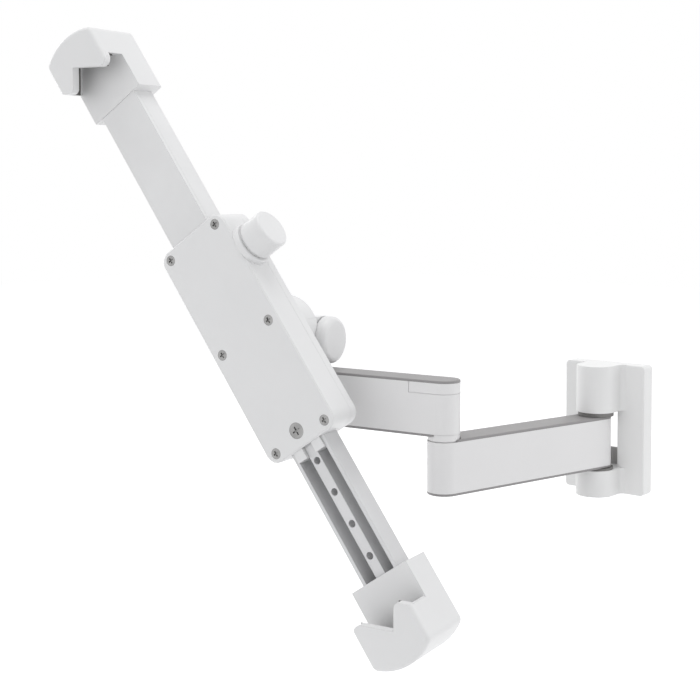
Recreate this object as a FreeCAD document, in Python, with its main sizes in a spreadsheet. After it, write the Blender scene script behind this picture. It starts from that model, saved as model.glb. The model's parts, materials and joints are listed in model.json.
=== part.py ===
import FreeCAD, Part
import math
import os
import Sketcher

# Full-motion tablet mount. Origin: centre of the wall face. Z is up, Y points into the wall.
# The holder's pieces are drawn in a frame of their own: x across the bars, y the depth behind
# the tablet's front, z along the bars towards the upper cradle.

SIZES = [
    # wall plate and bracket
    ("bracket_wide", 52.6),
    ("bracket_high", 77.4),
    ("bracket_deep", 10.0),
    ("bracket_corner", 2.5),
    ("bracket_skin", 3.5),
    ("bracket_side", 2.6),
    ("bracket_edge_round", 0.8),
    ("plate_thick", 2.5),
    ("plate_gap", 0.2),
    ("plate_window", 26.0),
    ("plate_tab_wide", 36.0),
    ("plate_tab_deep", 3.8),
    ("plate_tab_thick", 2.0),
    ("wall_hole_across", 34.0),
    ("wall_hole_up", 52.0),
    ("wall_hole_bore", 5.2),
    ("window_wide", 18.2),
    ("window_rim", 2.0),
    ("grub_across", 30.0),
    ("grub_bore", 3.0),
    ("grub_long", 4.8),
    ("grub_in", 0.6),
    # wall hinge
    ("hinge_out", 20.0),
    ("knuckle_round", 11.5),
    ("knuckle_blend", 3.0),
    ("upper_knuckle_long", 27.5),
    ("lower_knuckle_long", 15.5),
    ("lower_knuckle_drop", 38.5),
    ("pin_bore", 8.0),
    ("pin_top_skin", 5.0),
    ("pin_head_bore", 13.0),
    ("pin_head_thick", 3.0),
    ("socket_across", 5.0),
    ("socket_deep", 2.0),
    ("washer_across", 21.0),
    ("bush_across", 12.0),
    ("bush_long", 9.0),
    ("turn_gap", 0.05),
    ("face_gap", 0.1),
    ("seat_gap", 0.2),
    ("seam_edge", 0.3),
    # arms
    ("arm_wide", 18.0),
    ("lower_arm_long", 120.0),
    ("lower_arm_high", 27.7),
    ("lower_arm_base", -20.4),
    ("upper_arm_long", 97.0),
    ("upper_arm_high", 27.8),
    ("arm_wall", 2.6),
    ("arm_web", 3.0),
    ("arm_rib", 2.0),
    ("arm_boss", 11.5),
    ("cover_thick", 1.4),
    ("cover_lip", 2.0),
    ("cover_round", 0.6),
    ("arm_space", 4.2),
    ("ring_across", 17.4),
    ("ring_round", 1.2),
    ("ring_cover_gap", 0.4),
    ("nut_across", 13.0),
    ("nut_thick", 5.0),
    ("nut_room", 17.0),
    ("nut_washer_thick", 1.0),
    ("elbow_head_thick", 3.5),
    ("collar_long", 17.0),
    ("collar_deep", 6.0),
    ("lower_arm_angle", -103.57),
    ("upper_arm_angle", -173.2),
    # head
    ("holder_angle", 8.9),
    ("tilt_depth", 62.0),
    ("tilt_high", 57.4),
    ("spin_high", 62.2),
    ("barrel_across", 26.8),
    ("barrel_long", 20.0),
    ("post_across", 18.0),
    ("post_washer_thick", 0.8),
    ("post_shank", 10.0),
    ("post_shank_long", 20.0),
    ("swivel_head_across", 13.0),
    ("swivel_head_thick", 3.0),
    ("swivel_bolt_bore", 6.0),
    ("swivel_bolt_long", 12.0),
    ("ear_thick", 9.0),
    ("ear_gap", 0.3),
    ("tilt_bolt_bore", 8.0),
    ("tilt_head_across", 14.0),
    ("tilt_head_thick", 4.0),
    ("tilt_nut_across", 12.04),
    ("cap_gap", 0.7),
    ("cap_long", 7.0),
    ("cap_round", 3.5),
    ("hub_across", 42.0),
    ("hub_front", 36.6),
    ("hub_back", 53.0),
    ("hub_round", 1.2),
    ("hub_relief_high", 9.0),
    ("hub_relief_deep", 9.0),
    ("hub_relief_past", 3.6),
    ("barrel_clear", 0.4),
    ("disc_across", 40.0),
    ("disc_thick", 1.4),
    ("spin_washer_across", 38.0),
    ("spin_washer_thick", 0.5),
    ("spin_bolt_bore", 8.0),
    ("spin_head_across", 13.0),
    ("spin_head_thick", 3.0),
    ("spin_nut_depth", 43.0),
    ("spin_nut_thick", 4.6),
    # holder housing
    ("bar_angle", 34.6),
    ("housing_wide", 50.0),
    ("housing_long", 135.0),
    ("housing_front", 10.0),
    ("housing_seam", 28.2),
    ("housing_rear", 34.5),
    ("housing_corner", 7.0),
    ("housing_edge", 0.8),
    ("housing_skin", 1.5),
    ("housing_wall", 2.5),
    ("housing_rib", 2.0),
    ("screw_in_across", 6.46),
    ("screw_in_along", 5.3),
    ("screw_head", 5.8),
    ("screw_head_thick", 1.8),
    ("screw_shank", 3.0),
    ("screw_boss", 7.6),
    ("screw_into_rear", 4.5),
    ("cross_wide", 0.9),
    ("cross_share", 3.6),
    ("cross_deep", 1.0),
    ("rail_screw_in", 9.2),
    ("rail_screw_head", 8.8),
    ("rail_screw_head_thick", 2.4),
    ("rail_screw_shank", 4.0),
    ("rail_screw_boss", 10.4),
    # bars
    ("sleeve_wide", 28.3),
    ("sleeve_front", 11.7),
    ("sleeve_back", 27.6),
    ("sleeve_face", 1.0),
    ("sleeve_side", 1.9),
    ("strip_deep", 2.7),
    ("sleeve_inner_end", 10.0),
    ("upper_reach", 157.3),
    ("slide_gap", 0.15),
    ("rail_face", 2.0),
    ("rail_lip", 2.15),
    ("rail_rib", 6.4),
    ("rail_rib_drop", 0.85),
    ("rail_inner_end", 60.0),
    ("lower_reach", 146.0),
    ("rail_hole", 4.0),
    ("rail_pitch", 19.0),
    ("guide_out", 6.0),
    ("guide_in", 6.0),
    ("skid_high", 0.5),
    ("skid_wide", 4.0),
    ("skid_out", 9.6),
    # lock knob
    ("knob_in", 24.3),
    ("knob_depth", 20.5),
    ("base_across", 25.0),
    ("base_thick", 3.5),
    ("base_ring_across", 20.0),
    ("base_ring_thick", 1.5),
    ("base_round", 0.7),
    ("knob_across", 22.5),
    ("knob_long", 13.4),
    ("knob_round", 1.5),
    ("stem_across", 8.0),
    ("stem_tip_gap", 0.1),
    ("stem_in", 8.0),
    ("pad_long", 12.0),
    ("pad_deep", 11.0),
    ("pad_thick", 2.6),
    # cradles
    ("cradle_wide", 39.0),
    ("cradle_long", 45.5),
    ("cradle_arc", 34.0),
    ("cradle_front", -6.0),
    ("cradle_back", 32.0),
    ("cradle_corner", 4.0),
    ("cradle_front_round", 2.5),
    ("cradle_back_round", 1.2),
    ("tongue_wall", 2.0),
    ("slot_front", -1.0),
    ("slot_back", 11.0),
    ("corner_across", -3.1),
    ("corner_along", 27.4),
    ("lip_overlap", 8.0),
    ("hook_leg", 15.0),
    ("hook_round", 3.0),
    ("lip_round", 4.5),
    ("lining_thick", 0.8),
    ("lining_deep", 9.5),
    ("lining_inset", 0.4),
    ("socket_in", 24.0),
    ("cavity_in", 36.0),
    ("cradle_screw_first", 8.0),
    ("cradle_screw_second", 18.0),
    ("cradle_screw_shank", 3.6),
    ("cradle_screw_head", 6.4),
    ("cradle_screw_head_thick", 1.2),
    ("cradle_cross_deep", 0.8),
]

ARM_CELLS = 3
RAIL_HOLES = 5


class Size:
    """A number and the sheet expression that gives it."""

    def __init__(self, number, text):
        self.number = number
        self.text = text

    def __add__(self, other):
        other = as_size(other)
        return Size(self.number + other.number, "(%s + %s)" % (self.text, other.text))

    def __radd__(self, other):
        return as_size(other) + self

    def __sub__(self, other):
        other = as_size(other)
        return Size(self.number - other.number, "(%s - %s)" % (self.text, other.text))

    def __rsub__(self, other):
        return as_size(other) - self

    def __mul__(self, other):
        other = as_size(other)
        return Size(self.number * other.number, "(%s * %s)" % (self.text, other.text))

    def __rmul__(self, other):
        return as_size(other) * self

    def __truediv__(self, other):
        other = as_size(other)
        return Size(self.number / other.number, "(%s / %s)" % (self.text, other.text))

    def __neg__(self):
        return Size(-self.number, "(0 - %s)" % self.text)


def as_size(value):
    if isinstance(value, Size):
        return value
    return Size(float(value), "(%.9g)" % value)


def root(value):
    return Size(math.sqrt(value.number), "sqrt(%s)" % value.text)


def sine(value):
    return Size(math.sin(math.radians(value.number)), "sin(%s)" % value.text)


def cosine(value):
    return Size(math.cos(math.radians(value.number)), "cos(%s)" % value.text)


doc = FreeCAD.newDocument("tablet_mount")
sheet = doc.addObject("Spreadsheet::Sheet", "Sizes")


class Sizes:
    """The sheet's values by name."""


s = Sizes()
for row, (name, number) in enumerate(SIZES, start=1):
    sheet.set("A%d" % row, name)
    sheet.set("B%d" % row, "%.9g" % number)
    sheet.setAlias("B%d" % row, name)
    setattr(s, name, Size(number, "Sizes." + name))
doc.recompute()

# sketch planes: the origin plane's role, its normal along the axis (1) or against it (-1)
PLANES = {"XY": ("XY_Plane", 1), "XZ": ("XZ_Plane", -1), "YZ": ("YZ_Plane", 1)}
exported = []


def new_body(name, placement=None, several=False):
    body = doc.addObject("PartDesign::Body", name)
    body.Label = name
    if several:
        body.AllowCompound = True
    if placement is not None:
        body.Placement = placement
    exported.append(body)
    return body


def point(pair):
    return FreeCAD.Vector(as_size(pair[0]).number, as_size(pair[1]).number, 0)


def bind(sketch, constraint, size):
    """Add a driving constraint whose value is the size's expression."""
    index = sketch.addConstraint(constraint)
    sketch.setExpression("Constraints[%d]" % index, size.text)


def arc_between(start, end, radius, turn):
    """Arc of the given radius from start to end, turn 1 for anticlockwise and -1 for clockwise."""
    chord = end - start
    middle = (start + end) * 0.5
    side = FreeCAD.Vector(-chord.y, chord.x, 0).normalize()
    reach = math.sqrt(max(radius * radius - chord.Length * chord.Length / 4.0, 0.0))
    centre = middle + side * (reach * turn)
    first, last = (start, end) if turn > 0 else (end, start)
    angles = [math.atan2(p.y - centre.y, p.x - centre.x) for p in (first, last)]
    circle = Part.Circle(centre, FreeCAD.Vector(0, 0, 1), radius)
    return Part.ArcOfCircle(circle, angles[0], angles[1])


def add_outline(sketch, points):
    """Closed outline. A point (x, y, radius[, turn]) is reached by an arc instead of a line."""
    ends = []
    for index, target in enumerate(points):
        start = point(points[index - 1])
        end = point(target)
        if len(target) == 2:
            place = sketch.addGeometry(Part.LineSegment(start, end), False)
            ends.append((place, 1, 2))
            continue
        turn = target[3] if len(target) > 3 else 1
        radius = as_size(target[2])
        place = sketch.addGeometry(arc_between(start, end, radius.number, turn), False)
        ends.append((place, 1, 2) if turn > 0 else (place, 2, 1))
        bind(sketch, Sketcher.Constraint("Radius", place, radius.number), radius)
    for index, target in enumerate(points):
        place, _, last = ends[index]
        after, first, _ = ends[(index + 1) % len(points)]
        sketch.addConstraint(Sketcher.Constraint("Coincident", place, last, after, first))
        for kind, value in (("DistanceX", target[0]), ("DistanceY", target[1])):
            size = as_size(value)
            bind(sketch, Sketcher.Constraint(kind, -1, 1, place, last, size.number), size)


def add_circle(sketch, x, y, radius):
    radius = as_size(radius)
    circle = Part.Circle(point((x, y)), FreeCAD.Vector(0, 0, 1), radius.number)
    place = sketch.addGeometry(circle, False)
    bind(sketch, Sketcher.Constraint("Radius", place, radius.number), radius)
    for kind, value in (("DistanceX", x), ("DistanceY", y)):
        size = as_size(value)
        bind(sketch, Sketcher.Constraint(kind, -1, 1, place, 3, size.number), size)


def rectangle(x0, y0, x1, y1):
    return [(x0, y0), (x1, y0), (x1, y1), (x0, y1)]


def block(half_wide, y0, y1):
    """Rectangle that is symmetrical about x = 0."""
    return rectangle(-half_wide, y0, half_wide, y1)


def stadium(x0, x1, radius):
    """Straight strip with half-round ends about x0 and x1."""
    return [
        (x0, -radius, radius),
        (x1, -radius),
        (x1 + radius, 0, radius),
        (x1, radius, radius),
        (x0, radius),
        (x0 - radius, 0, radius),
    ]


def new_sketch(body, name, plane, offset, shapes):
    """Sketch on an origin plane; a shape is an outline's points or a circle's (x, y, radius)."""
    sketch = body.newObject("Sketcher::SketchObject", name)
    role = PLANES[plane][0]
    base = [feature for feature in body.Origin.OriginFeatures if feature.Role == role][0]
    sketch.AttachmentSupport = [(base, "")]
    sketch.MapMode = "FlatFace"
    sketch.setExpression("AttachmentOffset.Base.z", as_size(offset).text)
    for shape in shapes:
        if isinstance(shape, tuple):
            add_circle(sketch, *shape)
        else:
            add_outline(sketch, shape)
    return sketch


def add(body, name, plane, low, high, shapes):
    """Pad the shapes between two levels on the plane's axis."""
    low, high = as_size(low), as_size(high)
    offset = low if PLANES[plane][1] > 0 else -high
    sketch = new_sketch(body, name + "_sketch", plane, offset, shapes)
    pad = body.newObject("PartDesign::Pad", name)
    pad.Profile = sketch
    pad.setExpression("Length", (high - low).text)
    pad.Refine = True
    doc.recompute()
    return pad


def cut(body, name, plane, low, high, shapes):
    """Pocket the shapes between two levels on the plane's axis."""
    low, high = as_size(low), as_size(high)
    offset = high if PLANES[plane][1] > 0 else -low
    sketch = new_sketch(body, name + "_sketch", plane, offset, shapes)
    pocket = body.newObject("PartDesign::Pocket", name)
    pocket.Profile = sketch
    pocket.setExpression("Length", (high - low).text)
    pocket.Refine = True
    before = body.Tip.BaseFeature.Shape.Volume if body.Tip.BaseFeature else 0.0
    doc.recompute()
    if pocket.Shape.Volume >= before:
        raise ValueError("%s: %s takes nothing away" % (body.Label, name))
    return pocket


def dress(body, kind, name, size, test):
    """Fillet or chamfer the edges of the body's last feature that pass the test."""
    base = body.Tip
    names = []
    for index, edge in enumerate(base.Shape.Edges, start=1):
        if test(edge):
            names.append("Edge%d" % index)
    if not names:
        raise ValueError("%s: no edge for %s" % (body.Label, name))
    feature = body.newObject("PartDesign::" + kind, name)
    feature.Base = (base, names)
    feature.setExpression("Radius" if kind == "Fillet" else "Size", as_size(size).text)
    doc.recompute()
    return feature


def near(value, size):
    return abs(value - as_size(size).number) < 1e-4


def level(edge, axis):
    """The edge's level on an axis, or None where the edge isn't level."""
    box = edge.BoundBox
    low = {"x": box.XMin, "y": box.YMin, "z": box.ZMin}[axis]
    high = {"x": box.XMax, "y": box.YMax, "z": box.ZMax}[axis]
    return low if high - low < 1e-4 else None


def upright(edge, axis):
    """True for a straight edge along the axis."""
    return all(level(edge, other) is not None for other in "xyz" if other != axis)


def turned_placement(place, *turns):
    rotation = FreeCAD.Rotation()
    for axis, degrees in turns:
        rotation = rotation * FreeCAD.Rotation(axis, degrees)
    return FreeCAD.Placement(place, rotation)


X_AXIS = FreeCAD.Vector(1, 0, 0)
Y_AXIS = FreeCAD.Vector(0, 1, 0)
Z_AXIS = FreeCAD.Vector(0, 0, 1)

# where the arms and the holder stand
lower_place = turned_placement(
    FreeCAD.Vector(0, -s.hinge_out.number, 0), (Z_AXIS, s.lower_arm_angle.number))
elbow_point = lower_place.multVec(FreeCAD.Vector(s.lower_arm_long.number, 0, 0))
upper_place = turned_placement(elbow_point, (Z_AXIS, s.upper_arm_angle.number))
yaw_point = upper_place.multVec(FreeCAD.Vector(s.upper_arm_long.number, 0, 0))
facing = FreeCAD.Rotation(Z_AXIS, s.holder_angle.number)
front_point = yaw_point + facing.multVec(FreeCAD.Vector(0, -s.tilt_depth.number, 0))
head_place = turned_placement(front_point, (Z_AXIS, s.holder_angle.number))
holder_place = turned_placement(
    front_point + FreeCAD.Vector(0, 0, s.spin_high.number),
    (Z_AXIS, s.holder_angle.number), (Y_AXIS, -s.bar_angle.number))

# levels that several pieces share
lower_top = s.lower_arm_base + s.lower_arm_high
lower_cover_top = lower_top + s.cover_thick
lower_cover_base = s.lower_arm_base - s.cover_thick
upper_base = lower_top + s.arm_space
upper_top = upper_base + s.upper_arm_high
upper_cover_top = upper_top + s.cover_thick
upper_cover_base = upper_base - s.cover_thick
upper_knuckle_base = s.bracket_high / 2 - s.upper_knuckle_long
lower_knuckle_top = s.lower_knuckle_long - s.lower_knuckle_drop
arm_half = s.arm_wide / 2
pin_half = s.pin_bore / 2
bush_half = s.bush_across / 2


def wall_group():
    half_wide = s.bracket_wide / 2
    half_high = s.bracket_high / 2
    room_x = half_wide - s.bracket_side
    room_z = half_high - s.bracket_side
    plate_x = room_x - s.plate_gap
    plate_z = room_z - s.plate_gap
    grub_y = -(s.plate_thick + s.plate_tab_deep / 2)
    hole_x = s.wall_hole_across / 2
    hole_z = s.wall_hole_up / 2
    window_half = s.window_wide / 2

    plate = new_body("wall_plate")
    add(plate, "plate", "XZ", -s.plate_thick, 0, [block(plate_x, -plate_z, plate_z)])
    for name, low, high in (
            ("upper_tab", plate_z - s.plate_tab_thick, plate_z),
            ("lower_tab", -plate_z, -plate_z + s.plate_tab_thick)):
        add(plate, name, "XZ", -s.plate_thick - s.plate_tab_deep, -s.plate_thick,
            [block(s.plate_tab_wide / 2, low, high)])
    cut(plate, "window", "XZ", -s.plate_thick, 0,
        [block(s.plate_window / 2, -s.plate_window / 2, s.plate_window / 2)])
    bore = s.wall_hole_bore / 2
    cut(plate, "wall_holes", "XZ", -s.plate_thick, 0,
        [(x, z, bore) for x in (-hole_x, hole_x) for z in (-hole_z, hole_z)])
    cut(plate, "grub_holes", "XY", -plate_z, -plate_z + s.plate_tab_thick,
        [(x, grub_y, s.grub_bore / 2) for x in (-s.grub_across / 2, s.grub_across / 2)])

    bracket = new_body("wall_bracket")
    add(bracket, "plate", "XZ", -s.bracket_deep, 0, [block(half_wide, -half_high, half_high)])
    dress(bracket, "Fillet", "corners", s.bracket_corner, lambda edge: upright(edge, "y"))
    dress(bracket, "Fillet", "front_edge", s.bracket_edge_round,
          lambda edge: near(edge.BoundBox.YMax, -s.bracket_deep))
    foot = s.knuckle_round + s.knuckle_blend
    knuckle = [
        (foot, s.bracket_edge_round - s.bracket_deep),
        (-foot, s.bracket_edge_round - s.bracket_deep),
        (-foot, -s.bracket_deep),
        (-s.knuckle_round, -s.bracket_deep - s.knuckle_blend, s.knuckle_blend, -1),
        (-s.knuckle_round, -s.hinge_out),
        (0, -s.hinge_out - s.knuckle_round, s.knuckle_round),
        (s.knuckle_round, -s.hinge_out, s.knuckle_round),
        (s.knuckle_round, -s.bracket_deep - s.knuckle_blend),
        (foot, -s.bracket_deep, s.knuckle_blend, -1),
    ]
    add(bracket, "upper_knuckle", "XY", upper_knuckle_base, half_high, [knuckle])
    add(bracket, "lower_knuckle", "XY", -s.lower_knuckle_drop, lower_knuckle_top, [knuckle])
    cut(bracket, "window", "XZ", -s.bracket_deep, 0,
        [block(window_half, lower_knuckle_top, upper_knuckle_base)])
    cut(bracket, "plate_room", "XZ", -s.plate_thick, 0, [block(room_x, -room_z, room_z)])
    rim_half = window_half + s.window_rim
    cut(bracket, "hollow", "XZ", s.bracket_skin - s.bracket_deep, -s.plate_thick,
        [block(room_x, -room_z, room_z),
         block(rim_half, lower_knuckle_top - s.window_rim, upper_knuckle_base + s.window_rim)])
    cut(bracket, "pin_bore", "XY", -s.lower_knuckle_drop, half_high - s.pin_top_skin,
        [(0, -s.hinge_out, pin_half + s.turn_gap)])
    cut(bracket, "head_room", "XY", -s.lower_knuckle_drop, s.pin_head_thick - s.lower_knuckle_drop,
        [(0, -s.hinge_out, s.pin_head_bore / 2 + s.seat_gap)])
    cut(bracket, "grub_holes", "XY", -half_high, -room_z,
        [(x, grub_y, s.grub_bore / 2 + s.turn_gap) for x in (-s.grub_across / 2, s.grub_across / 2)])

    grubs = new_body("bracket_set_screws", several=True)
    grub_low = -half_high + s.grub_in
    add(grubs, "shanks", "XY", grub_low, grub_low + s.grub_long,
        [(x, grub_y, s.grub_bore / 2) for x in (-s.grub_across / 2, s.grub_across / 2)])

    pin = new_body("wall_hinge_pin", FreeCAD.Placement(lower_place.Base, FreeCAD.Rotation()))
    head_top = s.pin_head_thick - s.lower_knuckle_drop
    add(pin, "shank", "XY", head_top, half_high - s.pin_top_skin - s.face_gap, [(0, 0, pin_half)])
    add(pin, "head", "XY", -s.lower_knuckle_drop, head_top, [(0, 0, s.pin_head_bore / 2)])
    cut(pin, "socket", "XY", -s.lower_knuckle_drop, s.socket_deep - s.lower_knuckle_drop,
        [hexagon(0, 0, s.socket_across)])

    washer_ring = [(0, 0, s.washer_across / 2), (0, 0, pin_half + s.turn_gap)]
    upper = new_body("wall_washer_upper", pin.Placement)
    add(upper, "ring", "XY", lower_cover_top + s.face_gap, upper_knuckle_base, washer_ring)
    lower = new_body("wall_washer_lower", pin.Placement)
    add(lower, "ring", "XY", lower_knuckle_top, lower_cover_base - s.face_gap, washer_ring)


def hexagon(x, y, across):
    """Hexagon with the given size across its flats."""
    flat = across / 2
    corner = across / root(as_size(3))
    return [
        (x + corner, y),
        (x + corner / 2, y + flat),
        (x - corner / 2, y + flat),
        (x - corner, y),
        (x - corner / 2, y - flat),
        (x + corner / 2, y - flat),
    ]


def cell_outlines(start, end, inset):
    """Hollows between the ribs of an arm, in a row."""
    half = arm_half - s.arm_wall - inset
    each = (end - start - (ARM_CELLS - 1) * s.arm_rib) / ARM_CELLS
    cells = []
    for index in range(ARM_CELLS):
        low = start + index * (each + s.arm_rib)
        cells.append(rectangle(low + inset, -half, low + each - inset, half))
    return cells


def arm_body(name, place, base, top, long, first_boss, last_boss):
    body = new_body(name, place)
    add(body, "beam", "XY", base, top, [stadium(as_size(0), long, arm_half)])
    middle = (base + top) / 2
    cells = cell_outlines(first_boss, long - last_boss, as_size(0))
    cut(body, "upper_cells", "XY", middle + s.arm_web / 2, top, cells)
    cut(body, "lower_cells", "XY", base, middle - s.arm_web / 2, cells)
    return body


def notched(x0, x1, notch_at_end):
    """Cover outline with one half-round end and one end hollowed round the elbow ring."""
    ring = s.ring_across / 2 + s.ring_cover_gap
    back = root(ring * ring - arm_half * arm_half)
    if notch_at_end:
        return [
            (x0, -arm_half, arm_half),
            (x1 - back, -arm_half),
            (x1 - ring, 0, ring, -1),
            (x1 - back, arm_half, ring, -1),
            (x0, arm_half),
            (x0 - arm_half, 0, arm_half),
        ]
    return [
        (x0 + back, -arm_half, ring, -1),
        (x1, -arm_half),
        (x1 + arm_half, 0, arm_half),
        (x1, arm_half, arm_half),
        (x0 + back, arm_half),
        (x0 + ring, 0, ring, -1),
    ]


def cover(name, place, low, outline, cells, upwards, holes):
    """Grey cover plate with lips that reach into the arm's hollows."""
    body = new_body(name, place)
    high = low + s.cover_thick
    add(body, "plate", "XY", low, high, [outline])
    face = high if upwards else low
    dress(body, "Fillet", "edge", s.cover_round, lambda edge: level(edge, "z") is not None
          and near(edge.BoundBox.ZMin, face))
    if upwards:
        add(body, "lips", "XY", low - s.cover_lip, low, cells)
    else:
        add(body, "lips", "XY", high, high + s.cover_lip, cells)
    if holes:
        cut(body, "holes", "XY", low, high, holes)
    return body


def lower_arm_group():
    long = s.lower_arm_long
    body = arm_body("lower_arm", lower_place, s.lower_arm_base, lower_top, long,
                    s.arm_boss, s.arm_boss)
    cut(body, "wall_bore", "XY", s.lower_arm_base, lower_top, [(0, 0, bush_half)])
    cut(body, "elbow_bore", "XY", s.lower_arm_base, lower_top, [(long, 0, pin_half)])
    cut(body, "head_room", "XY", s.lower_arm_base, s.lower_arm_base + s.elbow_head_thick,
        [(long, 0, s.pin_head_bore / 2 + s.seat_gap)])
    cells = cell_outlines(s.arm_boss, long - s.arm_boss, s.seat_gap)
    cover("lower_arm_top_cover", lower_place, lower_top, notched(as_size(0), long, True),
          cells, True, [(0, 0, bush_half + s.seat_gap)])
    cover("lower_arm_bottom_cover", lower_place, lower_cover_base,
          stadium(as_size(0), long, arm_half), cells, False, [(0, 0, bush_half + s.seat_gap)])

    bushes = new_body("wall_bushes", lower_place, several=True)
    tube = [(0, 0, bush_half), (0, 0, pin_half + s.turn_gap)]
    add(bushes, "upper", "XY", lower_cover_top - s.bush_long, lower_cover_top, tube)
    add(bushes, "lower", "XY", lower_cover_base, lower_cover_base + s.bush_long, tube)

    ring = new_body("elbow_ring", lower_place)
    half = s.ring_across / 2
    add(ring, "ring", "XY", lower_top, upper_base - s.face_gap, [(long, 0, half)])
    dress(ring, "Fillet", "lower_edge", s.ring_round, lambda edge: near(edge.BoundBox.ZMax, lower_top))
    cut(ring, "bore", "XY", lower_top, upper_base, [(long, 0, pin_half + s.turn_gap)])

    nut_base = upper_top - s.nut_thick - s.seat_gap
    pin = new_body("elbow_pin", lower_place)
    head_top = s.lower_arm_base + s.elbow_head_thick
    add(pin, "shank", "XY", head_top, nut_base + s.nut_thick, [(long, 0, pin_half)])
    add(pin, "head", "XY", s.lower_arm_base + s.seat_gap, head_top, [(long, 0, s.pin_head_bore / 2)])
    washer = new_body("elbow_washer", lower_place)
    add(washer, "ring", "XY", nut_base - s.nut_washer_thick, nut_base,
        [(long, 0, s.nut_across / 2 + s.face_gap), (long, 0, pin_half + s.turn_gap)])
    nut = new_body("elbow_nut", lower_place)
    add(nut, "nut", "XY", nut_base, nut_base + s.nut_thick,
        [hexagon(long, 0, s.nut_across), (long, 0, pin_half)])


def upper_arm_group():
    long = s.upper_arm_long
    nut_room = s.nut_room / 2
    seat = upper_top - s.nut_thick - s.seat_gap - s.nut_washer_thick - s.face_gap
    cell_start = s.collar_long + s.arm_wall
    body = arm_body("upper_arm", upper_place, upper_base, upper_top, long, cell_start, s.arm_boss)
    cut(body, "collar_seat", "XY", upper_top - s.collar_deep, upper_top,
        [rectangle(-s.arm_wide, -s.arm_wide, s.collar_long, s.arm_wide)])
    cut(body, "elbow_bore", "XY", upper_base, upper_top, [(0, 0, pin_half + s.turn_gap)])
    cut(body, "nut_room", "XY", seat, upper_top, [(0, 0, nut_room)])
    shank = s.post_shank / 2
    cut(body, "post_bore", "XY", upper_base, upper_top, [(long, 0, shank + s.turn_gap)])
    low = upper_top + s.cover_thick - s.post_shank_long
    cut(body, "swivel_room", "XY", upper_base, low + s.face_gap,
        [(long, 0, s.swivel_head_across / 2 + s.barrel_clear)])

    collar = new_body("elbow_collar", upper_place)
    add(collar, "collar", "XY", upper_top - s.collar_deep, upper_top, [[
        (0, -arm_half, arm_half),
        (s.collar_long - s.face_gap, -arm_half),
        (s.collar_long - s.face_gap, arm_half),
        (0, arm_half),
        (-arm_half, 0, arm_half),
    ]])
    collar_end = s.collar_long - s.face_gap
    dress(collar, "Chamfer", "seam_edge", s.seam_edge,
          lambda edge: near(edge.BoundBox.ZMax, upper_top - s.collar_deep)
          or (upright(edge, "z") and near(edge.BoundBox.XMin, collar_end)))
    cut(collar, "nut_room", "XY", upper_top - s.collar_deep, upper_top, [(0, 0, nut_room)])

    cells = cell_outlines(cell_start, long - s.arm_boss, s.seat_gap)
    cover("upper_arm_top_cover", upper_place, upper_top, stadium(as_size(0), long, arm_half),
          cells, True, [(long, 0, shank + s.seat_gap)])
    cover("upper_arm_bottom_cover", upper_place, upper_cover_base,
          notched(as_size(0), long, False), cells, False, [])


def head_group():
    yaw_y = s.tilt_depth
    barrel = s.barrel_across / 2
    half = s.barrel_long / 2
    shank_low = upper_cover_top - s.post_shank_long
    washer_low = upper_cover_top + s.face_gap
    post_low = washer_low + s.post_washer_thick
    washer_hole = s.post_shank / 2 + s.turn_gap

    post = new_body("swivel_post", head_place)
    add(post, "barrel", "YZ", -half, half, [(yaw_y, s.tilt_high, barrel)])
    add(post, "neck", "XY", post_low, s.tilt_high, [(0, yaw_y, s.post_across / 2)])
    add(post, "shank", "XY", shank_low, post_low, [(0, yaw_y, s.post_shank / 2)])
    cut(post, "tilt_bore", "YZ", -half, half, [(yaw_y, s.tilt_high, s.tilt_bolt_bore / 2 + s.turn_gap)])
    cut(post, "thread", "XY", shank_low, shank_low + s.swivel_bolt_long,
        [(0, yaw_y, s.swivel_bolt_bore / 2)])
    washer = new_body("post_washer", head_place)
    add(washer, "ring", "XY", washer_low, post_low,
        [(0, yaw_y, s.post_across / 2 - s.face_gap), (0, yaw_y, washer_hole)])

    bolt = new_body("swivel_bolt", head_place)
    plate_low = shank_low - s.nut_washer_thick
    head_low = plate_low - s.swivel_head_thick
    add(bolt, "shank", "XY", plate_low, shank_low + s.swivel_bolt_long - s.face_gap,
        [(0, yaw_y, s.swivel_bolt_bore / 2)])
    add(bolt, "head", "XY", head_low, plate_low,
        [(0, yaw_y, s.swivel_head_across / 2 - s.seat_gap)])
    cut(bolt, "socket", "XY", head_low, head_low + s.socket_deep, [hexagon(0, yaw_y, s.socket_across)])
    plate = new_body("swivel_washer", head_place)
    add(plate, "ring", "XY", plate_low, shank_low,
        [(0, yaw_y, s.swivel_head_across / 2), (0, yaw_y, s.swivel_bolt_bore / 2)])


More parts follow.
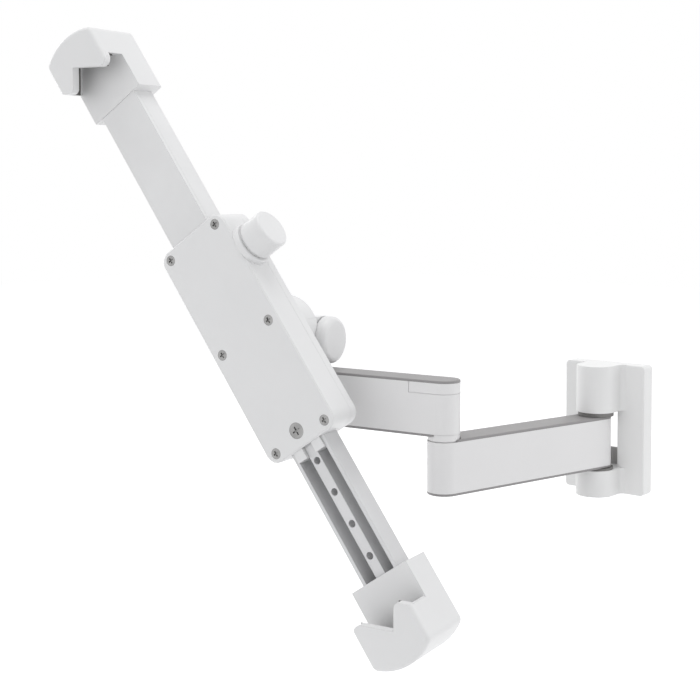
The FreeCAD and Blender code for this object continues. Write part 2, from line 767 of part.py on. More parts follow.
def tilt_group():
    yaw_y = s.tilt_depth
    barrel = s.barrel_across / 2
    inner = s.barrel_long / 2 + s.ear_gap
    outer = inner + s.ear_thick
    hub = s.hub_across / 2
    bolt = s.tilt_bolt_bore / 2

    bracket = new_body("tilt_bracket", head_place)
    add(bracket, "hub", "XZ", s.hub_front, s.hub_back, [(0, s.spin_high, hub)])
    dress(bracket, "Fillet", "hub_edge", s.hub_round, lambda edge: near(edge.BoundBox.YMin, s.hub_back))
    web_top = s.tilt_high + barrel
    arm = [
        (s.hub_back - s.ear_thick, s.tilt_high - barrel),
        (yaw_y, s.tilt_high - barrel),
        (yaw_y + barrel, s.tilt_high, barrel),
        (yaw_y, web_top, barrel),
        (s.hub_back - s.ear_thick, web_top),
    ]
    add(bracket, "left_ear", "YZ", -outer, -inner, [arm])
    add(bracket, "right_ear", "YZ", inner, outer, [arm])
    cut(bracket, "barrel_room", "YZ", -inner, inner, [(yaw_y, s.tilt_high, barrel + s.barrel_clear)])
    bottom = s.spin_high - hub
    clear = barrel + s.barrel_clear
    for name, low, high in (("left_cap_room", -hub, -outer), ("right_cap_room", outer, hub)):
        cut(bracket, name, "YZ", low, high, [(yaw_y, s.tilt_high, clear)])
    cut(bracket, "neck_room", "XY", bottom, s.tilt_high,
        [block(inner, yaw_y - clear, s.hub_back)])
    cut(bracket, "lower_relief", "YZ", -hub, hub, [[
        (s.hub_back - s.hub_relief_deep, bottom),
        (s.hub_back + s.hub_relief_past, bottom - s.hub_relief_past),
        (s.hub_back + s.hub_relief_past, bottom + s.hub_relief_high + s.hub_relief_past),
    ]])
    cut(bracket, "spin_bore", "XZ", s.hub_front, s.hub_back,
        [(0, s.spin_high, s.spin_bolt_bore / 2 + s.turn_gap)])
    cut(bracket, "nut_room", "XZ", s.spin_nut_depth, s.hub_back, [(0, s.spin_high, s.nut_room / 2)])
    cut(bracket, "tilt_bore", "YZ", -outer, outer, [(yaw_y, s.tilt_high, bolt)])
    cut(bracket, "left_room", "YZ", -outer, -outer + s.tilt_head_thick,
        [(yaw_y, s.tilt_high, s.tilt_head_across / 2 + s.seat_gap)])
    cut(bracket, "right_room", "YZ", outer - s.tilt_head_thick, outer,
        [(yaw_y, s.tilt_high, s.tilt_head_across / 2 + s.seat_gap)])

    rod = new_body("tilt_bolt", head_place)
    add(rod, "shank", "YZ", -outer + s.tilt_head_thick, outer, [(yaw_y, s.tilt_high, bolt)])
    add(rod, "head", "YZ", -outer, -outer + s.tilt_head_thick,
        [(yaw_y, s.tilt_high, s.tilt_head_across / 2)])
    nut = new_body("tilt_nut", head_place)
    add(nut, "nut", "YZ", outer - s.tilt_head_thick, outer,
        [hexagon(yaw_y, s.tilt_high, s.tilt_nut_across), (yaw_y, s.tilt_high, bolt)])

    caps = new_body("tilt_caps", head_place, several=True)
    far = outer + s.cap_gap + s.cap_long
    add(caps, "domes", "YZ", -far, -far + s.cap_long, [(yaw_y, s.tilt_high, barrel)])
    add(caps, "far_dome", "YZ", far - s.cap_long, far, [(yaw_y, s.tilt_high, barrel)])
    dress(caps, "Fillet", "dome_edges", s.cap_round,
          lambda edge: near(abs(edge.BoundBox.XMin), far) and near(abs(edge.BoundBox.XMax), far))
    spigot = [(yaw_y, s.tilt_high, s.tilt_head_across / 2)]
    add(caps, "left_spigot", "YZ", -outer - s.cap_gap, -outer, spigot)
    add(caps, "right_spigot", "YZ", outer, outer + s.cap_gap, spigot)

    washer = new_body("spin_washer", head_place)
    add(washer, "ring", "XZ", s.hub_front - s.spin_washer_thick, s.hub_front,
        [(0, s.spin_high, s.spin_washer_across / 2), (0, s.spin_high, s.spin_bolt_bore / 2 + s.seat_gap)])


def cross(x, y, across):
    """Cross recess outline of a screw head."""
    arm = across / s.cross_share
    thin = s.cross_wide / 2
    return [
        (x + arm, y - thin), (x + arm, y + thin), (x + thin, y + thin), (x + thin, y + arm),
        (x - thin, y + arm), (x - thin, y + thin), (x - arm, y + thin), (x - arm, y - thin),
        (x - thin, y - thin), (x - thin, y - arm), (x + thin, y - arm), (x + thin, y - thin),
    ]


def rounded_block(half_x, half_z, corner):
    """Rectangle about the origin with round corners."""
    return [
        (-half_x + corner, -half_z, corner),
        (half_x - corner, -half_z),
        (half_x, -half_z + corner, corner),
        (half_x, half_z - corner),
        (half_x - corner, half_z, corner),
        (-half_x + corner, half_z),
        (-half_x, half_z - corner, corner),
        (-half_x, -half_z + corner),
    ]


sleeve_half = s.sleeve_wide / 2
rail_half = sleeve_half - s.sleeve_side - s.slide_gap
rail_front = s.sleeve_front + s.sleeve_face + s.slide_gap
rail_back = s.sleeve_back - s.sleeve_face - s.slide_gap
base_top = s.housing_wide / 2 + s.base_thick
ring_top = base_top + s.base_ring_thick
screw_x = s.housing_wide / 2 - s.screw_in_across
screw_z = s.housing_long / 2 - s.screw_in_along
screw_places = [(x * screw_x, z * screw_z) for x in (-1, 1) for z in (-1, 0, 1)]
rail_screw_place = s.housing_long / 2 - s.rail_screw_in
knob_along = s.housing_long / 2 - s.knob_in


def housing_group():
    half_x = s.housing_wide / 2
    half_z = s.housing_long / 2
    channel = sleeve_half + s.seat_gap
    inner_front = s.housing_front + s.housing_skin

    shell = new_body("housing_shell", holder_place)
    outer = rounded_block(half_x, half_z, s.housing_corner)
    inner = rounded_block(half_x - s.housing_wall, half_z - s.housing_wall,
                          s.housing_corner - s.housing_wall)
    add(shell, "outside", "XZ", s.housing_front, s.housing_seam, [outer])
    dress(shell, "Chamfer", "front_edge", s.housing_edge,
          lambda edge: level(edge, "y") is not None and near(edge.BoundBox.YMin, s.housing_front))
    cut(shell, "inside", "XZ", inner_front, s.housing_seam, [inner])
    bosses = [(x, z, s.screw_boss / 2) for x, z in screw_places]
    add(shell, "bosses", "XZ", inner_front, s.housing_seam, bosses)
    ribs = []
    pad_low = knob_along - s.pad_long / 2 - s.seat_gap
    pad_high = knob_along + s.pad_long / 2 + s.seat_gap
    end = half_z - s.housing_wall / 2
    ribs.append(rectangle(-channel - s.housing_rib, -end, -channel, end))
    ribs.append(rectangle(channel, -end, channel + s.housing_rib, pad_low))
    ribs.append(rectangle(channel, pad_high, channel + s.housing_rib, end))
    add(shell, "ribs", "XZ", inner_front, s.housing_seam, ribs)
    add(shell, "rail_boss", "XZ", inner_front, rail_front + s.rail_rib_drop,
        [(0, -rail_screw_place, s.rail_screw_boss / 2)])
    cut(shell, "bar_channel", "XZ", inner_front, s.housing_seam,
        [block(channel, -half_z, -rail_screw_place - s.rail_screw_boss / 2),
         block(channel, -rail_screw_place + s.rail_screw_boss / 2, half_z)])
    cut(shell, "screw_holes", "XZ", s.housing_front, s.housing_seam,
        [(x, z, s.screw_shank / 2 + s.turn_gap) for x, z in screw_places])
    cut(shell, "screw_seats", "XZ", s.housing_front, s.housing_front + s.screw_head_thick,
        [(x, z, s.screw_head / 2 + s.turn_gap) for x, z in screw_places])
    cut(shell, "rail_screw_hole", "XZ", s.housing_front, s.housing_seam,
        [(0, -rail_screw_place, s.rail_screw_shank / 2 + s.turn_gap)])
    cut(shell, "rail_screw_seat", "XZ", s.housing_front, s.housing_front + s.rail_screw_head_thick,
        [(0, -rail_screw_place, s.rail_screw_head / 2 + s.turn_gap)])
    cut(shell, "stem_hole", "YZ", half_x - s.housing_wall, half_x,
        [(s.knob_depth, knob_along, s.stem_across / 2 + s.turn_gap)])

    rear = new_body("housing_back", holder_place)
    add(rear, "plate", "XZ", s.housing_seam, s.housing_rear, [outer])
    dress(rear, "Chamfer", "seam_edge", s.seam_edge,
          lambda edge: level(edge, "y") is not None and near(edge.BoundBox.YMin, s.housing_seam))
    dress(rear, "Fillet", "rear_edge", s.housing_edge,
          lambda edge: level(edge, "y") is not None and near(edge.BoundBox.YMin, s.housing_rear))
    skid_low = -half_z + s.housing_corner + s.guide_in
    skids = [rectangle(x, skid_low, x + s.skid_wide, half_z - s.housing_edge)
             for x in (-s.skid_out, s.skid_out - s.skid_wide)]
    add(rear, "skids", "XZ", s.housing_seam - s.skid_high, s.housing_seam, skids)
    add(rear, "rail_boss", "XZ", rail_back, s.housing_seam,
        [(0, -rail_screw_place, s.rail_screw_boss / 2)])
    cut(rear, "rail_thread", "XZ", rail_back, s.housing_rear - s.housing_skin,
        [(0, -rail_screw_place, s.rail_screw_shank / 2)])
    cut(rear, "screw_threads", "XZ", s.housing_seam, s.housing_seam + s.screw_into_rear + s.face_gap,
        [(x, z, s.screw_shank / 2) for x, z in screw_places])
    cut(rear, "spin_bore", "XZ", s.housing_seam, s.housing_rear, [(0, 0, s.spin_bolt_bore / 2)])
    cut(rear, "spin_seat", "XZ", s.housing_seam, s.housing_seam + s.spin_head_thick + s.seat_gap,
        [(0, 0, s.spin_head_across / 2 + s.seat_gap)])

    screws = new_body("cover_screws", holder_place, several=True)
    head_back = s.housing_front + s.screw_head_thick
    add(screws, "shanks", "XZ", head_back, s.housing_seam + s.screw_into_rear,
        [(x, z, s.screw_shank / 2) for x, z in screw_places])
    add(screws, "heads", "XZ", s.housing_front, head_back,
        [(x, z, s.screw_head / 2) for x, z in screw_places])
    cut(screws, "recesses", "XZ", s.housing_front, s.housing_front + s.cross_deep,
        [cross(x, z, s.screw_head) for x, z in screw_places])

    screw = new_body("rail_screw", holder_place)
    head_back = s.housing_front + s.rail_screw_head_thick
    add(screw, "shank", "XZ", head_back, s.housing_rear - s.housing_skin - s.face_gap,
        [(0, -rail_screw_place, s.rail_screw_shank / 2)])
    add(screw, "head", "XZ", s.housing_front, head_back, [(0, -rail_screw_place, s.rail_screw_head / 2)])
    cut(screw, "recess", "XZ", s.housing_front, s.housing_front + s.cross_deep,
        [cross(0, -rail_screw_place, s.rail_screw_head)])

    disc = new_body("turntable_disc", holder_place)
    add(disc, "disc", "XZ", s.housing_rear, s.housing_rear + s.disc_thick,
        [(0, 0, s.disc_across / 2), (0, 0, s.spin_bolt_bore / 2 + s.turn_gap)])
    bolt = new_body("turntable_bolt", holder_place)
    head_low = s.housing_seam + s.seat_gap
    bolt_end = s.spin_nut_depth + s.spin_nut_thick + s.seat_gap
    add(bolt, "shank", "XZ", head_low + s.spin_head_thick, bolt_end, [(0, 0, s.spin_bolt_bore / 2)])
    add(bolt, "head", "XZ", head_low, head_low + s.spin_head_thick, [(0, 0, s.spin_head_across / 2)])
    nut = new_body("turntable_nut", holder_place)
    add(nut, "nut", "XZ", s.spin_nut_depth + s.face_gap, s.spin_nut_depth + s.spin_nut_thick + s.face_gap,
        [hexagon(0, 0, s.nut_across), (0, 0, s.spin_bolt_bore / 2)])

    base = new_body("knob_base", holder_place)
    add(base, "boss", "YZ", half_x, base_top, [(s.knob_depth, knob_along, s.base_across / 2)])
    add(base, "ring", "YZ", base_top, ring_top, [(s.knob_depth, knob_along, s.base_ring_across / 2)])
    dress(base, "Fillet", "edges", s.base_round,
          lambda edge: near(edge.BoundBox.XMin, ring_top)
          or (near(edge.BoundBox.XMin, base_top) and near(edge.BoundBox.YLength, s.base_across)))
    cut(base, "bore", "YZ", half_x, ring_top,
        [(s.knob_depth, knob_along, s.stem_across / 2 + s.turn_gap)])

    pad = new_body("clamp_pad", holder_place)
    pad_y = s.pad_deep / 2
    pad_in = sleeve_half + s.turn_gap
    add(pad, "pad", "YZ", pad_in, pad_in + s.pad_thick,
        [rectangle(s.knob_depth - pad_y, knob_along - s.pad_long / 2,
                   s.knob_depth + pad_y, knob_along + s.pad_long / 2)])


def knob_group():
    knob = new_body("lock_knob", holder_place)
    low = ring_top + s.face_gap
    high = low + s.knob_long
    stem_end = low + s.stem_in
    add(knob, "grip", "YZ", low, high, [(s.knob_depth, knob_along, s.knob_across / 2)])
    dress(knob, "Fillet", "edges", s.knob_round, lambda edge: near(edge.BoundBox.XMin, high))
    stem = new_body("knob_stem", holder_place)
    tip = sleeve_half + s.turn_gap + s.pad_thick + s.stem_tip_gap
    add(stem, "stem", "YZ", tip, stem_end, [(s.knob_depth, knob_along, s.stem_across / 2)])
    cut(knob, "stem_bore", "YZ", low, stem_end, [(s.knob_depth, knob_along, s.stem_across / 2)])


def bars_group():
    seam = s.sleeve_front + s.strip_deep
    upper_end = s.upper_reach
    strip = new_body("bar_front_strip", holder_place)
    add(strip, "channel", "XY", s.sleeve_inner_end, upper_end, [[
        (-sleeve_half, s.sleeve_front),
        (sleeve_half, s.sleeve_front),
        (sleeve_half, seam),
        (sleeve_half - s.sleeve_side, seam),
        (sleeve_half - s.sleeve_side, s.sleeve_front + s.sleeve_face),
        (-sleeve_half + s.sleeve_side, s.sleeve_front + s.sleeve_face),
        (-sleeve_half + s.sleeve_side, seam),
        (-sleeve_half, seam),
    ]])
    bar = new_body("upper_bar", holder_place)
    add(bar, "channel", "XY", s.sleeve_inner_end, upper_end, [[
        (-sleeve_half, seam + s.seam_edge),
        (-sleeve_half + s.seam_edge, seam),
        (-sleeve_half + s.sleeve_side, seam),
        (-sleeve_half + s.sleeve_side, s.sleeve_back - s.sleeve_face),
        (sleeve_half - s.sleeve_side, s.sleeve_back - s.sleeve_face),
        (sleeve_half - s.sleeve_side, seam),
        (sleeve_half - s.seam_edge, seam),
        (sleeve_half, seam + s.seam_edge),
        (sleeve_half, s.sleeve_back),
        (-sleeve_half, s.sleeve_back),
    ]])

    screws = (s.cradle_screw_first, s.cradle_screw_second)
    screw_bore = s.cradle_screw_shank / 2 + s.turn_gap
    cut(bar, "screw_holes", "XZ", s.sleeve_back - s.sleeve_face, s.sleeve_back,
        [(0, s.upper_reach - z, screw_bore) for z in screws])

    rail = new_body("lower_rail", holder_place)
    lower_end = -s.lower_reach - s.socket_in
    rib = s.rail_rib / 2
    floor = rail_back - s.rail_face
    add(rail, "section", "XY", lower_end, s.rail_inner_end, [[
        (-rail_half, rail_front),
        (-rail_half + s.rail_lip, rail_front),
        (-rail_half + s.rail_lip, floor),
        (-rib, floor),
        (-rib, rail_front + s.rail_rib_drop),
        (rib, rail_front + s.rail_rib_drop),
        (rib, floor),
        (rail_half - s.rail_lip, floor),
        (rail_half - s.rail_lip, rail_front),
        (rail_half, rail_front),
        (rail_half, rail_back),
        (-rail_half, rail_back),
    ]])
    cut(rail, "holes", "XZ", rail_front, rail_back,
        [(0, -rail_screw_place - index * s.rail_pitch, s.rail_hole / 2 + s.turn_gap)
         for index in range(RAIL_HOLES)])
    cut(rail, "screw_holes", "XZ", floor - s.slide_gap - s.face_gap, rail_back,
        [(0, -s.lower_reach - z, screw_bore) for z in screws])

    guide = new_body("rail_guide", holder_place)
    half_z = s.housing_long / 2
    outside = sleeve_half + s.turn_gap
    inside = rail_half + s.slide_gap
    collar_front = s.housing_front + s.housing_skin + s.turn_gap
    add(guide, "collar", "XY", -half_z, -half_z + s.guide_in - s.housing_wall,
        [rectangle(-outside, collar_front, outside, s.housing_seam - s.turn_gap),
         rectangle(-inside, rail_front - s.slide_gap, inside, rail_back + s.slide_gap)])
    side = (s.rail_rib / 2 + s.slide_gap, rail_half - s.rail_lip - s.slide_gap)
    ribs = [rectangle(sign * side[0] if sign > 0 else -side[1], collar_front,
                      side[1] if sign > 0 else -side[0], floor - s.slide_gap) for sign in (-1, 1)]
    add(guide, "trough_ribs", "XY", -half_z - s.guide_out, -half_z + s.guide_in - s.housing_wall, ribs)


def from_corner(down, right):
    """Point reached from the lip's corner by going down and right along the tablet's sides."""
    x = s.corner_across - down * sine(s.bar_angle) + right * cosine(s.bar_angle)
    z = s.corner_along - down * cosine(s.bar_angle) - right * sine(s.bar_angle)
    return (x, z)


def cradle_group(name, place, tongue):
    """A corner cradle, its rubber lining and its screws. The upper one holds the sleeve by a
    tongue, the lower one takes the rail in a socket."""
    half = s.cradle_wide / 2
    arc = s.cradle_arc
    side_top = s.cradle_long - arc + root(arc * arc - half * half)
    far = s.cradle_long * 2
    overlap = s.lip_overlap
    at = from_corner

    def beyond_end(edge):
        return not near(edge.BoundBox.ZMax, 0)

    body = new_body(name + "_cradle", place)
    add(body, "block", "XZ", s.cradle_front, s.cradle_back, [[
        (-half, 0),
        (half, 0),
        (half, side_top),
        (0, s.cradle_long, arc),
        (-half, side_top, arc),
    ]])
    dress(body, "Fillet", "corners", s.cradle_corner,
          lambda edge: upright(edge, "y") and near(edge.BoundBox.ZMin, side_top))
    dress(body, "Fillet", "front_round", s.cradle_front_round,
          lambda edge: near(edge.BoundBox.YMax, s.cradle_front) and beyond_end(edge))
    dress(body, "Fillet", "back_round", s.cradle_back_round,
          lambda edge: near(edge.BoundBox.YMin, s.cradle_back) and beyond_end(edge))
    lean_sine, lean_cosine = sine(s.bar_angle), cosine(s.bar_angle)
    lip_end = s.corner_along - (half - s.corner_across) * lean_sine / lean_cosine
    tangent = s.lip_round * lean_cosine / (1 - lean_sine)
    cut(body, "notch", "XZ", s.cradle_front, s.slot_back, [[
        at(0, 0),
        at(s.hook_leg - s.hook_round, 0),
        at(s.hook_leg, -s.hook_round) + (s.hook_round, -1),
        at(s.hook_leg, -far),
        at(far, -far),
        (far, -far),
        (far, lip_end + tangent),
        (half, lip_end + tangent),
        (half - tangent * lean_cosine, lip_end + tangent * lean_sine, s.lip_round, -1),
    ]])
    cut(body, "slot", "XZ", s.slot_front, s.slot_back, [[
        at(-overlap, -overlap), at(far, -overlap), at(far, far), at(-overlap, far)]])
    screws = (s.cradle_screw_first, s.cradle_screw_second)
    bore = s.cradle_screw_shank / 2 + s.turn_gap
    if tongue:
        add(body, "tongue", "XY", -s.socket_in, 0,
            [rectangle(-rail_half, rail_front, rail_half, rail_back)])
        wall = s.tongue_wall
        cut(body, "cavity", "XY", -s.socket_in, s.cavity_in,
            [rectangle(-rail_half + wall, rail_front + wall, rail_half - wall, rail_back - wall)])
        cut(body, "screw_holes", "XZ", rail_back - wall, rail_back, [(0, -z, bore) for z in screws])
        low, seat = rail_back - wall, s.sleeve_back
        places = [-z for z in screws]
    else:
        side = rail_half + s.slide_gap
        cut(body, "cavity", "XY", 0, s.cavity_in,
            [rectangle(-side, rail_front - s.slide_gap, side, rail_back + s.slide_gap)])
        cut(body, "screw_holes", "XZ", rail_back, s.cradle_back, [(0, z, bore) for z in screws])
        low, seat = rail_back - s.rail_face, s.cradle_back
        places = list(screws)

    lining = new_body(name + "_lining", place)
    inner = overlap - s.lining_thick
    low_face = s.slot_front
    deep = low_face + s.lining_deep
    band = -s.lining_inset
    leg = s.hook_leg - s.lining_inset
    add(lining, "band", "XZ", low_face, deep, [[
        at(-overlap, -overlap), at(leg, -overlap), at(leg, band), at(band, band), at(band, far),
        at(-overlap, far)]])
    cut(lining, "groove", "XZ", low_face + s.lining_thick, deep, [[
        at(-inner, -inner), at(far, -inner), at(far, far), at(-inner, far)]])
    edge_x = half - s.lip_round
    cut(lining, "trim", "XZ", low_face, deep, [rectangle(edge_x, -far, far * 2, far)])

    fasteners = new_body(name + "_cradle_screws", place, several=True)
    add(fasteners, "shanks", "XZ", low, seat, [(0, z, s.cradle_screw_shank / 2) for z in places])
    top = seat + s.cradle_screw_head_thick
    add(fasteners, "heads", "XZ", seat, top, [(0, z, s.cradle_screw_head / 2) for z in places])
    cut(fasteners, "recesses", "XZ", top - s.cradle_cross_deep, top,
        [cross(0, z, s.cradle_screw_head) for z in places])


wall_group()
lower_arm_group()
upper_arm_group()
head_group()
tilt_group()
housing_group()
knob_group()
bars_group()
upper_cradle_place = holder_place.multiply(
    FreeCAD.Placement(FreeCAD.Vector(0, 0, s.upper_reach.number), FreeCAD.Rotation()))
lower_cradle_place = holder_place.multiply(FreeCAD.Placement(
    FreeCAD.Vector(0, 0, -s.lower_reach.number), FreeCAD.Rotation(Y_AXIS, 180)))
cradle_group("upper", upper_cradle_place, True)
cradle_group("lower", lower_cradle_place, False)

doc.recompute()
for item in doc.Objects:
    if "Invalid" in item.State or "Error" in item.State:
        raise ValueError("%s is in state %s" % (item.Label, item.State))
os.makedirs("parts", exist_ok=True)
for body in exported:
    shape = body.Shape
    if shape.isNull() or not shape.isValid() or not shape.Solids:
        raise ValueError("%s has no valid shape" % body.Label)
    shape.exportStep("parts/%s.step" % body.Label)
    print("%-24s %2d solids %10.1f mm3" % (body.Label, len(shape.Solids), shape.Volume))
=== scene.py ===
import json
import math

import bpy
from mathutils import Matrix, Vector

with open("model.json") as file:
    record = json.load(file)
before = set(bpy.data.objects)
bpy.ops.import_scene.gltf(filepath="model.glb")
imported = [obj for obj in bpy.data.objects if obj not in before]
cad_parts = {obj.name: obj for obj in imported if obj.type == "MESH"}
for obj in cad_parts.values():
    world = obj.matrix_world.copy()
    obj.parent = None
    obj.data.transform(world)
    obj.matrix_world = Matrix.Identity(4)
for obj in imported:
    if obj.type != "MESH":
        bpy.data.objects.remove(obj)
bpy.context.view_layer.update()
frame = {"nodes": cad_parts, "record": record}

nodes = frame["nodes"]
scene = bpy.context.scene

# the photograph's camera: focal length and shift in frame widths, sensor in millimetres,
# place in metres, turns in degrees
FOCAL_SHARE = 1.9388
SHIFT_SHARE = -0.15
SENSOR = 36.0
CAMERA_PLACE = (0.39485, -0.73445, 0.14677)
CAMERA_AZIMUTH = 39.262
CAMERA_PITCH = 2.622

# studio, in metres; the lift brings the floor up to white where only the world lights it
FLOOR_LEVEL = -0.25
FLOOR_SIZE = 8.0
FLOOR_TONE = 0.93
WORLD_LIGHT = 0.67
WORLD_TINT = (0.98, 0.985, 1.0)
WHITE = (1.0, 1.0, 1.0)
FLOOR_LIFT = 1.0 - FLOOR_TONE * WORLD_LIGHT * min(WORLD_TINT)

# soft lamps, all aimed at one point: name, place in metres, power in watts
AIM = (-0.1, -0.12, 0.05)
LAMP_SIZE = 1.2
LAMPS = (
    ("front", (-0.3, -1.75, 0.45), 2.6),
    ("right", (1.15, 0.75, 0.45), 4.5),
    ("top", (-0.1, -0.2, 1.5), 8.0),
    ("left", (-1.75, 0.0, 0.45), 6.0),
    ("behind", (-0.4, 1.7, 0.45), 1.5),
)

# radius of the softened edges, in metres
EDGE_ROUND = 0.00035
SMALL_EDGE_ROUND = 0.0002
BEVEL_SAMPLES = 4

# the stretch of a noise field over which tone or gloss changes
TONE_SPAN = (0.35, 0.65)
GLOSS_SPAN = (0.3, 0.7)

# the bars' direction in the frame, that of the bar_slide joint, and how far the lines of
# their surface are drawn out along it
BARS_ALONG = (0.56100683, 0.08785133, -0.82313637)
LINE_STRETCH = 20.0


def new_material(name, color, roughness, metallic=0.0):
    material = bpy.data.materials.new(name)
    material.use_nodes = True
    tree = material.node_tree
    shader = tree.nodes["Principled BSDF"]
    shader.inputs["Base Color"].default_value = (*color, 1.0)
    shader.inputs["Roughness"].default_value = roughness
    shader.inputs["Metallic"].default_value = metallic
    return material, tree, shader


def object_place(tree):
    return tree.nodes.new("ShaderNodeTexCoord").outputs["Object"]


def noise_field(tree, place, scale, detail=3.0):
    """Noise of that many waves to the metre."""
    noise = tree.nodes.new("ShaderNodeTexNoise")
    noise.inputs["Scale"].default_value = scale
    noise.inputs["Detail"].default_value = detail
    tree.links.new(place, noise.inputs["Vector"])
    return noise.outputs["Fac"]


def ramp_between(tree, field, span, low_value, high_value):
    ramp = tree.nodes.new("ShaderNodeValToRGB")
    first, last = ramp.color_ramp.elements
    first.position, last.position = span
    first.color = (*low_value, 1.0)
    last.color = (*high_value, 1.0)
    tree.links.new(field, ramp.inputs["Fac"])
    return ramp.outputs["Color"]


def add_tone(tree, shader, place, color, scale, spread):
    """Slight unevenness of tone over a surface."""
    darker = [channel * (1.0 - spread) for channel in color]
    lighter = [min(1.0, channel * (1.0 + spread)) for channel in color]
    field = noise_field(tree, place, scale)
    tone = ramp_between(tree, field, TONE_SPAN, darker, lighter)
    tree.links.new(tone, shader.inputs["Base Color"])


def add_gloss(tree, shader, place, roughness, scale, spread):
    """Roughness that wanders a little, as on a moulded or wiped surface."""
    smoother = [roughness - spread] * 3
    rougher = [roughness + spread] * 3
    field = noise_field(tree, place, scale)
    gloss = ramp_between(tree, field, GLOSS_SPAN, smoother, rougher)
    tree.links.new(gloss, shader.inputs["Roughness"])


def add_relief(tree, shader, field, depth, strength, edge_round=EDGE_ROUND):
    """Bump from a field over normals that are softened along the edges."""
    bevel = tree.nodes.new("ShaderNodeBevel")
    bevel.samples = BEVEL_SAMPLES
    bevel.inputs["Radius"].default_value = edge_round
    bump = tree.nodes.new("ShaderNodeBump")
    bump.inputs["Strength"].default_value = strength
    bump.inputs["Distance"].default_value = depth
    tree.links.new(field, bump.inputs["Height"])
    tree.links.new(bevel.outputs["Normal"], bump.inputs["Normal"])
    tree.links.new(bump.outputs["Normal"], shader.inputs["Normal"])


def moulded(name, color, roughness, depth=0.00005):
    """Moulded plastic with a very fine spark-eroded texture."""
    material, tree, shader = new_material(name, color, roughness)
    place = object_place(tree)
    add_tone(tree, shader, place, color, scale=18.0, spread=0.012)
    add_gloss(tree, shader, place, roughness, scale=55.0, spread=0.03)
    grain = noise_field(tree, place, scale=2600.0, detail=4.0)
    add_relief(tree, shader, grain, depth, strength=0.3)
    return material


def drawn(name, color, roughness, metallic):
    """Drawn or extruded metal: fine lines along the bars under a thin coat."""
    material, tree, shader = new_material(name, color, roughness, metallic)
    place = object_place(tree)
    mapping = tree.nodes.new("ShaderNodeMapping")
    mapping.vector_type = "TEXTURE"
    along = Vector(BARS_ALONG).to_track_quat("Z", "Y").to_euler()
    mapping.inputs["Rotation"].default_value = along
    mapping.inputs["Scale"].default_value = (1.0, 1.0, LINE_STRETCH)
    tree.links.new(place, mapping.inputs["Vector"])
    stretched = mapping.outputs["Vector"]
    lines = noise_field(tree, stretched, scale=900.0, detail=2.0)
    add_tone(tree, shader, place, color, scale=30.0, spread=0.02)
    add_gloss(tree, shader, stretched, roughness, scale=600.0, spread=0.05)
    add_relief(tree, shader, lines, depth=0.00003, strength=0.15)
    return material


def turned_metal(name, color, roughness):
    """Plated screw steel with small directionless marks."""
    material, tree, shader = new_material(name, color, roughness, metallic=1.0)
    place = object_place(tree)
    add_tone(tree, shader, place, color, scale=220.0, spread=0.10)
    add_gloss(tree, shader, place, roughness, scale=500.0, spread=0.08)
    marks = noise_field(tree, place, scale=1400.0)
    add_relief(tree, shader, marks, depth=0.00004, strength=0.3, edge_round=SMALL_EDGE_ROUND)
    return material


def rubber(name, color, roughness):
    """Dull rubber with a coarse grain."""
    material, tree, shader = new_material(name, color, roughness)
    place = object_place(tree)
    add_tone(tree, shader, place, color, scale=60.0, spread=0.15)
    grain = noise_field(tree, place, scale=1500.0, detail=4.0)
    add_relief(tree, shader, grain, depth=0.00012, strength=0.5, edge_round=SMALL_EDGE_ROUND)
    return material


def all_materials():
    return {
        "bracket_white": moulded("bracket_white", (0.80, 0.80, 0.795), 0.42),
        "arm_white": moulded("arm_white", (0.77, 0.765, 0.765), 0.40),
        "cover_grey": moulded("cover_grey", (0.275, 0.266, 0.267), 0.45, depth=0.00007),
        "holder_white": moulded("holder_white", (0.77, 0.77, 0.77), 0.38),
        "bar_white": drawn("bar_white", (0.76, 0.76, 0.76), 0.34, metallic=0.0),
        "rail_grey": drawn("rail_grey", (0.66, 0.66, 0.665), 0.38, metallic=0.15),
        "steel": turned_metal("steel", (0.30, 0.298, 0.295), 0.40),
        "plate_steel": moulded("plate_steel", (0.42, 0.415, 0.41), 0.5),
        # dark friction washers; their near-black colour is also painted shade for the
        # shadowed gap under the knuckles
        "dark_washer": moulded("dark_washer", (0.20, 0.195, 0.19), 0.55),
        "bush_grey": moulded("bush_grey", (0.13, 0.13, 0.13), 0.5),
        # dark rubber linings; their warm dark grey is also painted shade for the shadowed
        # insides of the cradle slots
        "rubber_dark": rubber("rubber_dark", (0.12, 0.115, 0.11), 0.85),
    }


def dress_nodes():
    materials = all_materials()
    slot_of = {part["node"]: part["material_slot"] for part in frame["record"]["subparts"]}
    for name, obj in nodes.items():
        obj.data.materials.clear()
        obj.data.materials.append(materials[slot_of[name]])


def area_light(name, place, power):
    data = bpy.data.lights.new(name, "AREA")
    data.shape = "SQUARE"
    data.size = LAMP_SIZE
    data.energy = power
    lamp = bpy.data.objects.new(name, data)
    scene.collection.objects.link(lamp)
    lamp.location = place
    lamp.rotation_euler = (Vector(AIM) - Vector(place)).to_track_quat("-Z", "Y").to_euler()


def seen_directly(tree):
    """1 for what the camera sees, straight or by gloss or through glass."""
    path = tree.nodes.new("ShaderNodeLightPath")
    field = path.outputs["Is Camera Ray"]
    for other in ("Is Glossy Ray", "Is Transmission Ray"):
        most = tree.nodes.new("ShaderNodeMath")
        most.operation = "MAXIMUM"
        tree.links.new(field, most.inputs[0])
        tree.links.new(path.outputs[other], most.inputs[1])
        field = most.outputs[0]
    return field


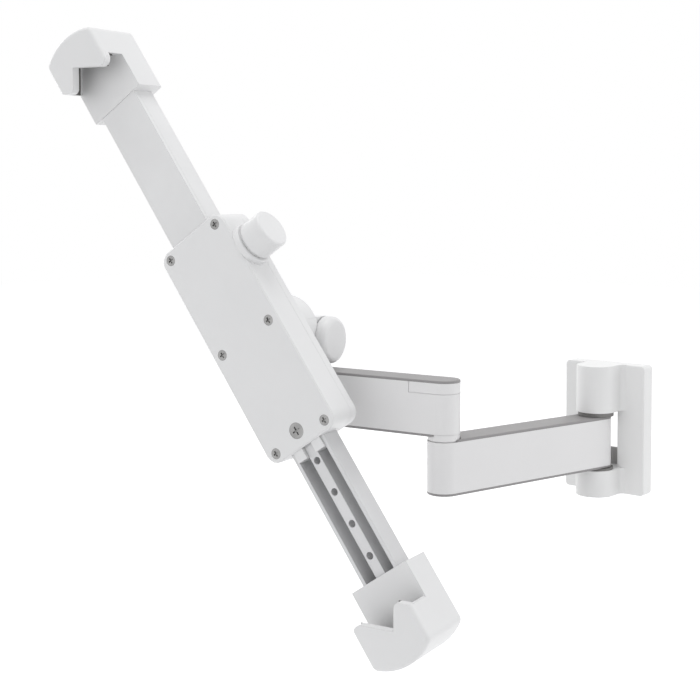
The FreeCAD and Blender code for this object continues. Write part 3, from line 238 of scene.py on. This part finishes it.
def white_world():
    """White where it is seen, soft even light on the object."""
    world = bpy.data.worlds.new("studio")
    scene.world = world
    world.use_nodes = True
    tree = world.node_tree
    tree.nodes.clear()
    output = tree.nodes.new("ShaderNodeOutputWorld")
    mix = tree.nodes.new("ShaderNodeMixShader")
    lit = tree.nodes.new("ShaderNodeBackground")
    seen = tree.nodes.new("ShaderNodeBackground")
    lit.inputs["Color"].default_value = (*WORLD_TINT, 1.0)
    lit.inputs["Strength"].default_value = WORLD_LIGHT
    seen.inputs["Color"].default_value = (*WHITE, 1.0)
    seen.inputs["Strength"].default_value = 1.0
    tree.links.new(seen_directly(tree), mix.inputs["Fac"])
    tree.links.new(lit.outputs["Background"], mix.inputs[1])
    tree.links.new(seen.outputs["Background"], mix.inputs[2])
    tree.links.new(mix.outputs["Shader"], output.inputs["Surface"])


def floor_plane():
    """Plain pale floor that keeps the object's shadow and meets the white without a line."""
    bpy.ops.mesh.primitive_plane_add(size=FLOOR_SIZE, location=(0.0, 0.0, FLOOR_LEVEL))
    floor = bpy.context.object
    floor.name = "floor"
    material = bpy.data.materials.new("floor_white")
    material.use_nodes = True
    tree = material.node_tree
    tree.nodes.clear()
    output = tree.nodes.new("ShaderNodeOutputMaterial")
    diffuse = tree.nodes.new("ShaderNodeBsdfDiffuse")
    diffuse.inputs["Color"].default_value = (FLOOR_TONE, FLOOR_TONE, FLOOR_TONE, 1.0)
    lift = tree.nodes.new("ShaderNodeEmission")
    scaled = tree.nodes.new("ShaderNodeMath")
    scaled.operation = "MULTIPLY"
    scaled.inputs[1].default_value = FLOOR_LIFT
    tree.links.new(seen_directly(tree), scaled.inputs[0])
    tree.links.new(scaled.outputs[0], lift.inputs["Strength"])
    both = tree.nodes.new("ShaderNodeAddShader")
    tree.links.new(diffuse.outputs["BSDF"], both.inputs[0])
    tree.links.new(lift.outputs["Emission"], both.inputs[1])
    tree.links.new(both.outputs["Shader"], output.inputs["Surface"])
    floor.data.materials.append(material)


def photo_camera():
    data = bpy.data.cameras.new("camera")
    data.sensor_width = SENSOR
    data.lens = FOCAL_SHARE * SENSOR
    data.shift_y = SHIFT_SHARE
    camera = bpy.data.objects.new("camera", data)
    scene.collection.objects.link(camera)
    camera.location = CAMERA_PLACE
    camera.rotation_euler = (
        math.radians(90.0 - CAMERA_PITCH), 0.0, math.radians(CAMERA_AZIMUTH))
    scene.camera = camera


dress_nodes()
white_world()
floor_plane()
photo_camera()
for name, place, power in LAMPS:
    area_light(name, place, power)
scene.view_settings.view_transform = "Standard"
